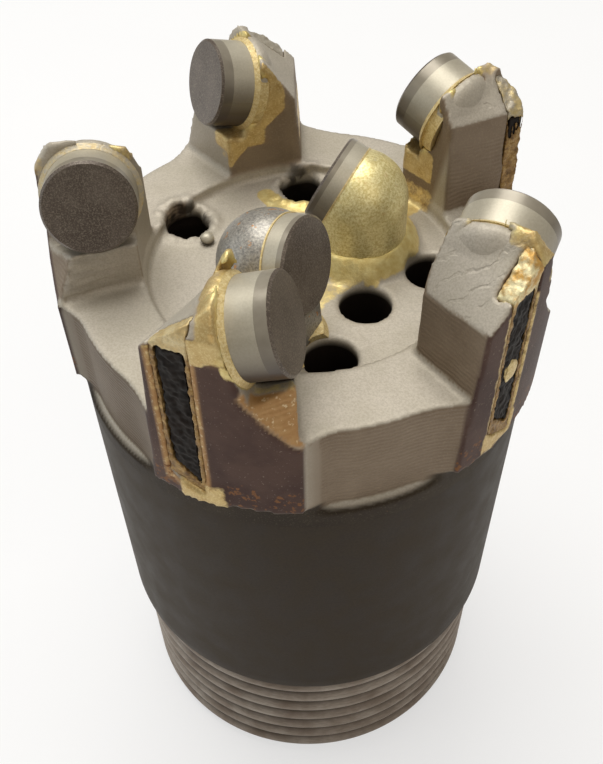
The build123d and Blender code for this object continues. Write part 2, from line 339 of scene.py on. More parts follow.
def thread_metal():
    """Machined thread: pale crests over dark roots."""
    m = Maker("thread_steel")
    fine = m.noise(0.5, 4.0, 0.7, (0.3, 0.3, 3.0))
    cloud = m.noise(7.0, 3.0)
    crest = m.mix(m.ramp(cloud, 0.36, 0.64), (0.25, 0.20, 0.16), (0.40, 0.35, 0.30))
    crest = m.mix(m.ramp(fine, 0.40, 0.62, 0.0, 0.4), crest, (0.15, 0.12, 0.09))
    colour = m.mix(m.attribute("root"), crest, (0.035, 0.025, 0.018))
    normal = m.bump(fine, 0.15, 0.08)
    return m.finish(colour, m.ramp(cloud, 0.3, 0.7, 0.38, 0.50), 0.35, normal)


def diamond_metal(name, axis):
    """A diamond table: a dark speckled face, and a greyer side round it, darker with painted shade where it
    faces down.
    """
    m = Maker(name)
    fine = m.noise(0.22, 3.0, 0.75)
    cloud = m.noise(5.0, 3.0)
    front = m.ramp(m.facing(axis), 0.35, 0.60)
    face = m.mix(m.ramp(cloud, 0.36, 0.64), (0.075, 0.055, 0.042), (0.12, 0.095, 0.075))
    face = m.mix(m.ramp(fine, 0.47, 0.64, 0.0, 0.7), face, (0.27, 0.23, 0.18))
    side = m.mix(m.ramp(cloud, 0.36, 0.64), (0.25, 0.22, 0.17), (0.34, 0.305, 0.24))
    # painted shade: the side darker where it faces down
    side = m.mix(m.ramp(m.facing((0, 0, 1)), -0.30, 0.60), (0.060, 0.045, 0.035), side)
    normal = m.bump(fine, 0.18, 0.08)
    return m.finish(m.mix(front, side, face), m.blend(front, 0.30, 0.36), 0.30, normal)


def braze_metal(name="braze", dull=0.0, top=None, steel=0.0):
    """Rough brass-coloured braze, part steel or dull; dull braze has other tones on top."""
    m = Maker(name)
    lump = m.noise(0.9, 4.0, 0.7)
    fine = m.noise(0.30, 3.0, 0.7)
    colour = m.mix(m.ramp(lump, 0.34, 0.66), (0.54, 0.38, 0.14), (0.78, 0.63, 0.31))
    colour = m.mix(m.ramp(fine, 0.46, 0.62, 0.0, 0.6), colour, (0.88, 0.77, 0.46))
    if steel:
        colour = m.mix(m.ramp(lump, 0.4, 0.6, steel, 1.0), colour, (0.47, 0.425, 0.34))
    if dull:
        colour = m.mix(m.ramp(fine, 0.42, 0.60), (0.36, 0.215, 0.065), (0.56, 0.40, 0.17))
        rust = m.mix(m.ramp(lump, 0.35, 0.65), (0.085, 0.040, 0.015), (0.36, 0.21, 0.065))
        below = m.mix(m.ramp(m.noise(1.1, 3.0, 0.6), 0.36, 0.58, 0.25, dull), colour, rust)
        split = m.add("ShaderNodeSeparateXYZ")
        m.link(m.place, split.inputs[0])
        level = (DECK + 14.0) * MM
        upper = m.ramp(split.outputs["Z"], level - 0.0006, level + 0.0006)
        over = m.mix(m.ramp(m.noise(2.0, 4.0, 0.6), 0.42, 0.58), *top)
        over = m.mix(m.ramp(fine, 0.44, 0.62, 0.0, 0.3), over, (0.33, 0.27, 0.18))
        colour = m.mix(upper, below, over)
    normal = m.bump(fine, 0.35, 0.10)
    normal = m.bump(lump, 0.45, 0.25, normal)
    return m.finish(colour, m.ramp(fine, 0.3, 0.7, 0.40, 0.55), 0.45, normal)


def stud_metal(name, gold_low, gold_high, rust):
    """A sandblasted dome, part gold with braze and dotted with rust."""
    m = Maker(name)
    patch = m.noise(2.5, 4.0, 0.6)
    fine = m.noise(0.35, 4.0, 0.7)
    steel = m.mix(m.ramp(fine, 0.35, 0.65), (0.20, 0.19, 0.175), (0.46, 0.43, 0.37))
    gold = m.mix(m.ramp(fine, 0.38, 0.62), (0.64, 0.52, 0.20), (0.92, 0.83, 0.46))
    gold = m.mix(m.ramp(m.noise(4.0, 2.0), 0.5, 0.7, 0.0, 0.25), gold, (0.50, 0.42, 0.15))
    colour = m.mix(m.ramp(patch, gold_low, gold_high), steel, gold)
    spots = m.ramp(m.noise(1.3, 3.0, 0.6), 0.63, 0.69, 0.0, rust)
    colour = m.mix(spots, colour, (0.55, 0.24, 0.055))
    normal = m.bump(fine, 0.30, 0.10)
    normal = m.bump(patch, 0.30, 0.40, normal)
    return m.finish(colour, m.ramp(patch, 0.3, 0.7, 0.34, 0.46), 0.5, normal)


# ---- mesh helpers --------------------------------------------------------------------
def add_object(name, mesh, material):
    """A piece of the visual model, riding on the one body."""
    thing = bpy.data.objects.new(name, mesh)
    bpy.context.scene.collection.objects.link(thing)
    mesh.materials.clear()
    mesh.materials.append(material)
    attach(thing, "root")
    return thing


def mesh_from(name, points, faces, smooth=True):
    """A mesh from points in metres."""
    mesh = bpy.data.meshes.new(name)
    mesh.from_pydata([tuple(p) for p in points], [], faces)
    mesh.validate()
    mesh.update()
    if smooth:
        mesh.shade_smooth()
    return mesh


def coords(mesh):
    """All points of a mesh, in millimetres."""
    flat = np.empty(len(mesh.vertices) * 3, np.float32)
    mesh.vertices.foreach_get("co", flat)
    return flat.reshape(-1, 3).astype(float) / MM


def put_coords(mesh, points):
    """The points of a mesh moved to points in millimetres."""
    mesh.vertices.foreach_set("co", (points * MM).astype(np.float32).ravel())
    mesh.update()


def normals(mesh):
    """The way each point of a mesh faces."""
    flat = np.empty(len(mesh.vertices) * 3, np.float32)
    mesh.vertices.foreach_get("normal", flat)
    return flat.reshape(-1, 3).astype(float)


def put_mask(mesh, name, values):
    """A share from 0 to 1 at each point, for a material to read by its name."""
    layer = mesh.attributes.new(name, "FLOAT", "POINT")
    layer.data.foreach_set("value", np.clip(values, 0, 1).astype(np.float32))


def step(values, low, high):
    """0 below low, 1 above high, smooth between; low may be above high."""
    t = np.clip((values - low) / (high - low), 0, 1)
    return t * t * (3 - 2 * t)


def wobble(points, size, seed=0.0):
    """Smooth noise of about -1 to 1, one value for each point."""
    shift = Vector((seed * 7.3, seed * 3.1, seed * 5.7))
    return np.array([noise.noise(Vector(p) / size + shift) for p in points])


def around(points, letter):
    """Points as distance along a blade, across it, and height over the deck."""
    turn = math.radians(BLADES[letter])
    x = points[:, 0] * math.cos(turn) + points[:, 1] * math.sin(turn)
    y = -points[:, 0] * math.sin(turn) + points[:, 1] * math.cos(turn)
    return x, y, points[:, 2] - DECK


def cutter_axis(letter):
    """Centre of a cutter's face and the outward normal, in millimetres."""
    turn = math.radians(BLADES[letter])
    look = turn + math.pi / 2 - SIDE_RAKE
    centre = np.array([CUTTER_RING * math.cos(turn), CUTTER_RING * math.sin(turn), DECK + CUTTER_RISE])
    flat = math.cos(BACK_RAKE)
    normal = np.array([flat * math.cos(look), flat * math.sin(look), math.sin(BACK_RAKE)])
    return centre, normal


def even_mesh(bm, name, voxel):
    """A closed shape made again on an even grid of voxel millimetres; it uses up bm."""
    raw = bpy.data.meshes.new(name + "_raw")
    bm.to_mesh(raw)
    bm.free()
    thing = bpy.data.objects.new(name + "_raw", raw)
    bpy.context.scene.collection.objects.link(thing)
    remesh = thing.modifiers.new("even", "REMESH")
    remesh.mode = "VOXEL"
    remesh.voxel_size = voxel * MM
    bpy.context.view_layer.update()
    graph = bpy.context.evaluated_depsgraph_get()
    mesh = bpy.data.meshes.new_from_object(thing.evaluated_get(graph))
    bpy.data.objects.remove(thing)
    mesh.name = name
    return mesh


def cad_shape(node):
    """The shape of a CAD node, its doubled points joined."""
    bm = bmesh.new()
    bm.from_mesh(nodes[node].data)
    bmesh.ops.remove_doubles(bm, verts=bm.verts, dist=WELD)
    return bm


def cut_below(bm, height):
    """What lies under a height in millimetres taken off a shape."""
    every = bm.verts[:] + bm.edges[:] + bm.faces[:]
    place = (0, 0, height * MM)
    bmesh.ops.bisect_plane(bm, geom=every, plane_co=place, plane_no=(0, 0, 1), clear_inner=True)


# ---- the crown -----------------------------------------------------------------------
def crown_mesh():
    """The body above the seam, with an even fine mesh and slightly worn edges."""
    bm = cad_shape("bit_body")
    cut_below(bm, SEAM - 1.5)
    rim = [e for e in bm.edges if e.is_boundary]
    bmesh.ops.triangle_fill(bm, edges=rim, use_beauty=True, normal=(0, 0, -1))
    bmesh.ops.recalc_face_normals(bm, faces=bm.faces)
    fine = even_mesh(bm, "crown", CROWN_VOXEL)
    bm = bmesh.new()
    bm.from_mesh(fine)
    cut_below(bm, SEAM)
    bm.to_mesh(fine)
    bm.free()
    fine.shade_smooth()
    return fine


def stroke(points, path, width, soft=0.8):
    """1 on a line along the path, seen from above, fading out beyond its half width."""
    best = np.full(len(points), 1e9)
    flat = points[:, :2]
    for start, end in zip(path[:-1], path[1:]):
        a, d = np.array(start, float), np.array(end, float) - np.array(start, float)
        t = np.clip((flat - a) @ d / max(d @ d, 1e-9), 0, 1)
        best = np.minimum(best, np.hypot(*(flat - a - np.outer(t, d)).T))
    return step(best, width + soft, width)


class Skin:
    """The crown's points, the way they face, and the masks and pushes laid on them."""

    def __init__(self, mesh):
        self.points = coords(mesh)
        self.normal = normals(mesh)
        x, y = self.points[:, 0], self.points[:, 1]
        self.radius = np.hypot(x, y)
        self.height = self.points[:, 2] - DECK
        self.up = self.normal[:, 2]
        self.out = (self.normal[:, 0] * x + self.normal[:, 1] * y) / self.radius
        self.low = wobble(self.points, 3.0)
        self.small = wobble(self.points, 1.2, 1.0)
        self.upright = step(np.abs(self.up), 0.50, 0.32)
        self.gauge = self.upright * step(self.radius, 37.15, 37.6)
        self.floor = step(self.up, 0.5, 0.8) * (np.abs(self.height + 1.0) < 2.2)
        self.ahead = self.facing_ahead()
        self.masks = {name: np.zeros(len(self.points)) for name in MASKS}
        self.lift = np.zeros(len(self.points))
        self.rise = np.zeros(len(self.points))

    def blade(self, letter):
        """Points in a blade's own directions, and which of them are on that blade."""
        x, y, z = around(self.points, letter)
        return x, y, z, (np.abs(y) < 25) & (x > 20)

    def facing(self, letter):
        """How far each point looks the way a blade's front does."""
        turn = math.radians(BLADES[letter])
        return self.normal[:, 1] * math.cos(turn) - self.normal[:, 0] * math.sin(turn)

    def facing_ahead(self):
        """How far each point on a blade's front part looks forward; -1 elsewhere."""
        ahead = np.full(len(self.points), -1.0)
        for letter in BLADES:
            x, y = around(self.points, letter)[:2]
            ahead = np.where((y > -9) & (y < 4) & (x > 20), self.facing(letter), ahead)
        return ahead

    def cover(self, where, **amounts):
        """At least this much of each named mask."""
        for name, amount in amounts.items():
            self.masks[name] = np.maximum(self.masks[name], where * amount)

    def clear(self, where, *names):
        """Less of each named mask."""
        for name in names:
            self.masks[name] *= 1 - where

    def hump(self, x, y, width, depth):
        """A round bump about a spot: 1 in the middle, 0 far away."""
        return np.exp(-((x / width) ** 2 + (y / depth) ** 2))


def paint_base(s):
    """Tones of the bare steel: a dark neck, partly darker steel and partly painted shade under the crown;
    purple gauge faces; browner machined walls, partly their own tone and partly painted shade.
    """
    s.cover(s.gauge * step(s.height, -16, -14.9), purple=1)
    # the neck under the crown is darker, as darker steel and painted shade; the gauge faces are darker
    # towards their lower edge
    s.cover(step(s.height, -14.3, -14.9) * step(s.radius, 35.4, 36.2), dark=1)
    s.cover(step(s.height, -12.5, -14.0) * s.gauge, dark=0.6)
    # browner walls, partly their own tone and partly painted shade; less of it on faces that look forward
    s.cover(s.upright * step(s.radius, 24.6, 24.9) * (s.height > -18), brown=0.9)
    s.clear(0.8 * step(s.ahead, 0.45, 0.75), "brown")


def paint_collars(s):
    """A bright line of braze where each cutter enters its collar, and a pale lip under it."""
    strength = {"A": 0.34, "D": 0.55}
    for letter in BLADES:
        centre, axis = cutter_axis(letter)
        away = s.points - centre
        depth = -away @ axis
        off = np.linalg.norm(away + np.outer(depth, axis), axis=1)
        line = step(off, CUTTER_R + 1.15, CUTTER_R + 0.6) * step(depth, 5.0, 5.7) * step(depth, 8.0, 7.0)
        line *= step(s.height, 6.5, 8.0)
        s.cover(line, gold=strength.get(letter, 0.85), bright=1)
        lip = step(off, CUTTER_R + 0.2, CUTTER_R + 0.6) * step(off, CUTTER_R + 1.6, CUTTER_R + 0.9)
        lip *= step(np.abs(depth - 2.6), 3.6, 2.8) * step(s.height, 11, 9)
        s.clear(lip, "brown", "purple")


def paint_e(s):
    """Blade E: orange hollow under a pale lip with a painted highlight, the cutter's painted shadow behind
    the lip, gold ridge and frame, horn at the ridge's end.
    """
    x, y, z, there = s.blade("E")
    scoop = step(z, -1.0, 0.4) * step(z, 10.0, 9.0) * step(s.radius, 37.72, 37.45) * step(x, 31.5, 32.5)
    scoop *= step(np.abs(y + 3.0), 5.3, 4.7) * there * step(s.out, 0.15, 0.4)
    shelf = there * step(s.up, 0.35, 0.6) * step(z, 5.0, 6.0) * step(z, 10.0, 9.0)
    shelf = shelf * step(y, -8, -7) * (x > 29)
    edge = shelf * step(x, 33.0, 33.4) * step(x, 35.0, 34.5)
    s.cover(scoop, orange=1)
    # the shelf's edge: some braze tone and a painted highlight where it catches the light
    s.cover(edge, gold=0.5, bright=1)
    s.cover(shelf * step(x, 34.5, 35.0), orange=1)
    # painted shadow of the cutter on the shelf behind the lip
    s.cover(shelf * step(x, 33.2, 32.8), soot=1)
    s.clear(edge, "brown")
    s.clear(scoop, "brown", "purple")
    band = step(y, -11.2, -9.9) * step(z, 13.0, 14.5) * there * (y < -3)
    s.cover(band, gold=0.80, orange=0.35)
    corner = there * step(s.radius, 36.4, 37.2) * step(z, 12.4, 13.4) * step(y, -19.3, -20.0)
    s.cover(corner, gold=0.9, bright=1)
    s.cover(there * s.gauge * step(z, 12.6, 13.6) * step(y, -9.0, -10.5), gold=0.9)
    border = there * s.gauge * step(np.abs(y + 14.36), 3.7, 3.1) * step(z, -13.5, -11.5) * step(z, 14.5, 13.0)
    s.cover(border * (0.36 + 0.25 * s.small), gold=1)
    s.cover(border, orange=0.9)
    tail = there * step(s.radius, 36.2, 36.9) * step(np.abs(y + 12.2), 4.2, 2.6)
    tail = tail * step(z, -16.4, -15.2) * step(z, -9.5, -12.0)
    s.cover(tail, gold=0.85)
    s.lift += tail * 0.35
    s.rise += s.hump(x - 25.0, y + 7.6, 2.3, 1.9) * step(z, 15.0, 17.5) * 2.6


def paint_d(s):
    """Blade D: gold along the bevel, the rim and the insert's foot; creases on its slope."""
    x, y, z, there = s.blade("D")
    bevel = there * step(s.radius, 35.2, 36.0) * step(z, 11.5, 13.0) * step(s.up, 0.15, 0.4)
    bevel *= step(y, -21.0, -18.0)
    rim_front = there * step(z, 17.5, 18.5) * step(y, -11.5, -9.8) * step(x, 29.0, 33.0)
    s.cover(np.maximum(bevel * step(y, -17.0, -14.5), rim_front * 0.8), gold=0.9)
    # braze along the bevel, its brighter front part a painted highlight
    s.cover(bevel * step(y, -9, -12), bright=0.9)
    foot = step(s.radius, 37.0, 37.4) * step(np.abs(y + 13.5), 4.2, 3.2)
    foot = foot * step(z, -8.5, -10.5) * step(z, -16, -13)
    s.cover(there * foot, gold=0.80)
    border = there * s.gauge * step(np.abs(y + 13.56), 3.7, 3.1) * step(z, -12.5, -11) * step(z, 14, 13)
    s.cover(border, gold=0.66)
    sloping = there * step(s.up, 0.45, 0.7) * step(z, 3.0, 5.0)
    s.cover(sloping * step(s.radius, 36.5, 34.5), crease=1)
    # browner tone, partly painted shade, low on D's inner wall
    s.cover(there * step(s.up, 0.5, 0.2) * step(z, 0.0, 6.0) * step(s.radius, 25.2, 24.6), brown=1)


def paint_c(s):
    """Blade C: gold under the cutter and on the inner wall, bumps and a gold spot on top."""
    x, y, z, there = s.blade("C")
    inner = there * step(s.out, -0.3, -0.6)
    # browner tone, partly painted shade, on C's inner wall
    s.cover(inner * step(y + 0.25 * z, -8.5, -6.5) * (y < 1), brown=1)
    under = there * step(x, 28.5, 27.0) * step(y, -7.6, -6.4) * step(z, 2.6, 4.0) * step(z, 9.5, 8.2)
    s.cover(under, gold=0.95)
    s.cover(inner * step(y, -10, -6) * step(z, 3.4, 0.6) * (y < 1), gold=0.62)
    s.cover(there * step(z, 18.6, 19.6) * step(y, -11.5, -10.0), gold=0.50, orange=0.25)
    spot = s.hump(x - 36.5, y + 15.0, 1.3, 2.2) * there * (z > 5)
    s.cover(spot, gold=1, bright=1)
    for bump_x, bump_y, size in ((34.0, -10.6, 1.3), (37.0, -12.8, 1.1), (36.8, -17.0, 0.9)):
        s.rise += s.hump(x - bump_x, y - bump_y, size, size) * there * (z > 8)


def paint_b(s):
    """Blade B: a slanting gold patch on the inner wall and a peak at the ridge's outer end."""
    x, y, z, there = s.blade("B")
    inner = there * step(s.out, -0.3, -0.6)
    # browner tone, partly painted shade, on B's inner wall
    s.cover(inner * step(z, -0.5, 0.5) * (y < 1), brown=0.9)
    line = 4.2 - 0.95 * (y + 2.0)
    slant = inner * step(z, line - 1.8, line - 0.6) * step(y, -10.8, -9.6) * (y < 1) * step(z, 0.2, 1.0)
    ledge = there * step(x, 29.0, 27.5) * step(z, 4.2, 5.4) * step(z, 10.0, 8.6) * step(y, -8, -6)
    s.cover(np.maximum(slant, ledge), gold=0.95, orange=0.4)
    front = there * step(y, -1.4, -0.8) * step(z, 0.5, 4.0) * step(x, 30.0, 25.0) * step(z, 9.0, 7.5)
    s.cover(front, gold=0.55)
    s.rise += s.hump(x - 36.0, y + 9.8, 1.5, 1.6) * there * (z > 15) * 1.2


def paint_a(s):
    """Blade A: gold at the ridge's corners, and the ridges that milling left on its front."""
    x, y, z, there = s.blade("A")
    corner = there * step(z, 15.5, 17.0) * step(y, -10.5, -9.0)
    s.cover(corner * step(np.abs(x - 31.0), 3.5, 5.5), gold=0.58)
    front = there * step(y, -1.6, -0.9) * step(z, -1.0, 0.5) * step(z, 8.2, 7.4) * (s.facing("A") > 0.6)
    grooves = 0.5 + 0.5 * np.cos(2 * math.pi * (z + 0.35 * s.low + 0.05 * x) / 1.25)
    s.lift -= front * grooves * (0.16 + 0.40 * step(x, 28, 33))
    s.clear(0.5 * front, "brown")


def raise_ridges(s):
    """The ridges stand a little over the back of their cutters."""
    for letter, rise in (("A", 1.0), ("E", 1.0), ("D", 1.3), ("C", 1.2), ("B", 1.0)):
        x, y, z = around(s.points, letter)
        swell = np.exp(-(((x - 29.6) / 4.6) ** 2)) * step(y, -11.5, -8.4) * step(y, -4.6, -5.6)
        s.rise = np.maximum(s.rise, rise * swell * (z > 16.5) * step(s.up, -0.1, 0.2))


def paint_pool(s):
    """The braze pool heaped round the second stud; it returns where the pool is."""
    face, look, rake = STUDS[1]
    turn, back = math.radians(look), STUD_BACK
    x = s.points[:, 0] - (face[0] - back * math.cos(turn) * math.cos(math.radians(rake)))
    y = s.points[:, 1] - (face[1] - back * math.sin(turn) * math.cos(math.radians(rake)))
    away = np.hypot(x, y)
    bearing = np.degrees(np.arctan2(y, x)) % 360
    # how far the pool reaches from the stud's middle, by bearing
    bearings = [0, 40, 80, 120, 160, 200, 235, 270, 300, 330, 360]
    reaches = [9.6, 10.8, 9.4, 9.2, 8.9, 9.2, 9.6, 9.2, 9.4, 9.4, 9.6]
    reach = np.interp(bearing, bearings, reaches) + 0.5 * s.low
    pool = step(away, reach + 0.5, reach - 0.6) * s.floor
    s.cover(pool, gold=1, bright=1)
    s.rise += POOL_HEIGHT * step(away, reach + 0.9, POOL_INNER_R) ** 1.4 * s.floor
    return pool


def paint_runs(s):
    """Braze runs and stains on the recess floor, and the rings that turning left there."""
    runs = (
        # path, half width, soft edge, gold, bright
        ([(10.6, 1.5), (10.0, -2.0), (10.2, -4.6)], 0.7, 0.8, 0.95, 0.8),
        ([(13.0, 11.0), (17.0, 14.8), (20.5, 17.0)], 1.5, 2.0, 0.9, 0.6),
        ([(-6.2, 18.6), (-4.2, 15.6), (0.5, 15.0), (4.5, 15.2)], 0.9, 1.4, 0.95, 0.9),
        ([(0.2, -12.6), (1.6, -8.6), (4.6, -5.2), (7.0, -5.0)], 0.9, 1.5, 0.60, 0.7),
    )
    for path, width, soft, gold, bright in runs:
        s.cover(stroke(s.points, path, width, soft) * s.floor, gold=gold, bright=bright)
    for ring_r in (20.1, 12.0, 16.4):
        s.lift -= 0.06 * np.exp(-(((s.radius - ring_r) / 0.35) ** 2)) * s.floor


def paint_ports(s):
    """Jagged slag with dark patches round the first two ports, and painted shade inside every port."""
    for (port_x, port_y), grow in zip(PORTS[:2], (0.9, 1.0)):
        rim = np.hypot(s.points[:, 0] - port_x, s.points[:, 1] - port_y)
        crust = step(rim, 6.0, 4.6) * s.floor
        s.lift += crust * (0.45 + 0.55 * s.small) * grow
        wall = step(rim, 4.9, 4.2) * step(np.abs(s.up), 0.8, 0.5) * step(s.height, -8, -2)
        s.lift += wall * (0.5 + 1.1 * s.low) * grow
        s.cover(wall * step(s.small + s.low, -0.1, 0.3), soot=0.8)
    for port_x, port_y in PORTS:
        rim = np.hypot(s.points[:, 0] - port_x, s.points[:, 1] - port_y)
        # painted shade inside every port
        s.cover(step(rim, 4.6, 4.2) * step(s.height, -2.4, -3.4), soot=1)


def paint_marks(s):
    """Rust low on the crown, milling lines on its walls, a shaded slot between A and E."""
    low_edge = step(s.height, -34, -20) * step(s.radius, 35.5, 36.2) * 0.75
    s.cover(low_edge + 0.72 * s.gauge * step(s.height, -8, -13), rust=1)
    mill = s.upright * step(s.radius, 24.8, 25.5) * (1 - s.masks["dark"]) * (1 - s.gauge)
    mill = mill * step(s.height, 12.5, 11.0)
    s.cover(mill * (1 - step(s.ahead, 0.3, 0.6)), mill=1)
    bearing = np.degrees(np.arctan2(s.points[:, 1], s.points[:, 0])) % 360
    shade = step(s.radius, 34.0, 34.9) * step(s.height, 0.3, -0.6) * s.upright
    # painted shade in the slot between A and E
    s.masks["soot"] += 0.35 * shade * (np.abs(bearing - 213) < 22)


def shape_skin(s, pool):
    """The points after braze, slag and wear have pushed them; walls move only a little."""
    gold = np.clip(s.masks["gold"], 0, 1)
    lift = s.lift + gold * (1 - pool) * (0.06 + 0.14 * s.small) + pool * (0.45 + 0.25 * s.small)
    lift = np.where(s.upright > 0.5, np.clip(lift, -0.5, 1.0), lift)
    points = s.points + s.normal * lift[:, None]
    points[:, 2] += s.rise
    away = np.hypot(points[:, 0], points[:, 1])
    limit = CROWN_R + CROWN_SWELL
    points[:, :2] *= np.where(away > limit, limit / away, 1.0)[:, None]
    return points


def make_crown():
    """The bladed head, its skin painted and shaped blade by blade."""
    mesh = crown_mesh()
    s = Skin(mesh)
    paint_base(s)
    paint_collars(s)
    for paint in (paint_e, paint_d, paint_c, paint_b, paint_a):
        paint(s)
    raise_ridges(s)
    pool = paint_pool(s)
    paint_runs(s)
    paint_ports(s)
    paint_marks(s)
    put_coords(mesh, shape_skin(s, pool))
    for name in MASKS:
        put_mask(mesh, name, s.masks[name])
    crown = add_object("crown", mesh, STEEL)
    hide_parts("bit_body")


def rough_copy(node, name, voxel, push, size, material, seed):
    """A CAD node copied with a fine mesh and a rough skin; it stands for the node."""
    mesh = even_mesh(cad_shape(node), name, voxel)
    points = coords(mesh)
    rough = 0.65 * wobble(points, size, seed) + 0.35 * wobble(points, size * 0.4, seed + 5)
    points += normals(mesh) * (push * (rough - 0.35))[:, None]
    put_coords(mesh, points)
    mesh.shade_smooth()
    piece = add_object(name, mesh, material)
    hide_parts(node)


def cap_row(letter, depth, over, spread=62.0, columns=72):
    """Points of one arc of a ridge's cap: depth behind the cutter's face, over its radius."""
    centre, axis = cutter_axis(letter)
    side = np.cross(axis, (0, 0, 1.0))
    side /= np.linalg.norm(side)
    top = np.cross(side, axis)
    row = []
    for j in range(columns + 1):
        share = 2.0 * j / columns - 1.0
        turn = math.radians(spread * share)
        sink = 2.4 * max(0.0, abs(share) - 0.62) ** 1.5 if depth > 6.0 else 0.0
        radius = CUTTER_R + over - sink
        spot = centre - axis * depth + radius * (side * math.sin(turn) + top * math.cos(turn))
        spot = spot + np.array([0, 0, 0.10 * noise.noise(Vector(spot) * 0.9)])
        away = math.hypot(spot[0], spot[1])
        if away > CROWN_R:
            spot[:2] *= CROWN_R / away
        row.append(tuple(spot * MM))
    return row


def make_cap(letter):
    """The ridge metal that closes over the back of a cutter, between the two ends of its collar."""
    profile = [
        (5.75, -0.10), (5.85, 0.16), (6.20, 0.42), (6.9, CAP_RISE),
        (7.7, CAP_RISE), (8.6, CAP_RISE - 0.55), (9.8, -1.2), (11.6, -3.8),
    ]
    arcs = [cap_row(letter, depth, over) for depth, over in profile]
    width = len(arcs[0])
    faces = []
    for i in range(len(arcs) - 1):
        for j in range(width - 1):
            low, high = i * width + j, (i + 1) * width + j
            faces.append((low + 1, low, high, high + 1))
    mesh = mesh_from("ridge_" + letter, [point for arc in arcs for point in arc], faces)
    lip = step(np.repeat([depth for depth, over in profile], width), 6.4, 6.1)
    braze = 0.4 if letter == "A" else 0.9
    spilled, tint = (0.62, 0.35) if letter == "E" else (0.0, 0.0)
    put_mask(mesh, "gold", lip * braze + spilled)
    put_mask(mesh, "bright", lip)
    put_mask(mesh, "orange", np.full(len(lip), tint))
    add_object("ridge_" + letter, mesh, STEEL)


def make_drop(name, radius, unevenness, grain, place, material):
    """A small uneven ball of metal; place gives where each of its points goes."""
    bm = bmesh.new()
    bmesh.ops.create_icosphere(bm, subdivisions=4, radius=radius * MM)
    for v in bm.verts:
        v.co *= 1.0 + unevenness * noise.noise(v.co * grain)
        v.co = place(v.co)
    mesh = bpy.data.meshes.new(name)
    bm.to_mesh(mesh)
    bm.free()
    mesh.shade_smooth()
    add_object(name, mesh, material)


def on_insert(point):
    """A point of the braze drop, flattened against blade D's insert."""
    turn = math.radians(BLADES["D"] - BLOB_TURN)
    out = Vector((math.cos(turn), math.sin(turn), 0))
    side = Vector((-out.y, out.x, 0))
    point = out * (point.x * 0.40) + side * (point.y * 1.35) + Vector((0, 0, point.z * 1.9))
    return point + (out * (CROWN_R - 0.28) + Vector((0, 0, DECK + BLOB_RISE))) * MM


def beside_port(point):
    """A point of the steel bead, resting on the recess floor."""
    return Vector((point.x, point.y, point.z * 0.8)) + Vector((-15.4, 6.4, RECESS_FLOOR + 0.75)) * MM


# ---- shank and thread ----------------------------------------------------------------
def ring_strip(rows):
    """Faces between rows of equal length that close on themselves."""
    faces = []
    width = len(rows[0])
    for i in range(len(rows) - 1):
        for j in range(width):
            k = (j + 1) % width
            faces.append((rows[i][j], rows[i][k], rows[i + 1][k], rows[i + 1][j]))
    return faces


def turned_mesh(name, profile, segments=256):
    """A closed turned shape from a profile of (radius, height)."""
    points, rows = [], []
    for radius, height in profile:
        row = []
        for j in range(segments):
            angle = 2 * math.pi * j / segments
            row.append(len(points))
            points.append((radius * math.cos(angle) * MM, radius * math.sin(angle) * MM, height * MM))
        rows.append(row)
    return mesh_from(name, points, ring_strip(rows))


def thread_radius(phase):
    """Radius of the thread for a phase of 0 to 1 over one pitch; the crest is round."""
    crest = 0.5 + 0.5 * math.cos(2 * math.pi * phase)
    crest = crest ** 0.75
    return ROOT_R + (PIN_R - 0.04 - ROOT_R) * crest


def thread_point(phase, share):
    """A point of the thread's skin, phase along one pitch and share of a turn round it."""
    height = THREAD_LOW - PITCH + PITCH * (phase + share)
    radius = thread_radius(phase % 1.0)
    if not THREAD_LOW <= height <= THREAD_TOP:
        height = min(max(height, THREAD_LOW), THREAD_TOP)
        radius = ROOT_R
    # the thread fades into the neck and into the end's chamfer
    fade = min(1.0, max(0.0, (THREAD_TOP - height) / 1.6), max(0.0, (height - THREAD_LOW) / 1.2))
    radius = ROOT_R + (radius - ROOT_R) * fade
    angle = 2 * math.pi * share
    return radius * math.cos(angle) * MM, radius * math.sin(angle) * MM, height * MM


def make_thread():
    """The male thread: a helical skin from the pin's end to its neck."""
    segments, steps = 224, 16
    turns = int(math.ceil((THREAD_TOP - THREAD_LOW) / PITCH)) + 2
    rows = turns * steps + 1
    points = [thread_point(k / steps, j / segments) for k in range(rows) for j in range(segments + 1)]
    faces = []
    for i in range(rows - 1):
        for j in range(segments):
            low, high = i * (segments + 1) + j, (i + 1) * (segments + 1) + j
            faces.append((low, low + 1, high + 1, high))
    mesh = mesh_from("thread", points, faces)
    bm = bmesh.new()
    bm.from_mesh(mesh)
    bmesh.ops.remove_doubles(bm, verts=bm.verts, dist=2e-5)
    bmesh.ops.dissolve_degenerate(bm, edges=bm.edges, dist=1e-6)
    bm.to_mesh(mesh)
    bm.free()
    mesh.shade_smooth()
    points = coords(mesh)
    radius = np.hypot(points[:, 0], points[:, 1])
    put_mask(mesh, "root", step(radius, PIN_R - 0.35, ROOT_R + 0.35))
    add_object("thread", mesh, THREAD)


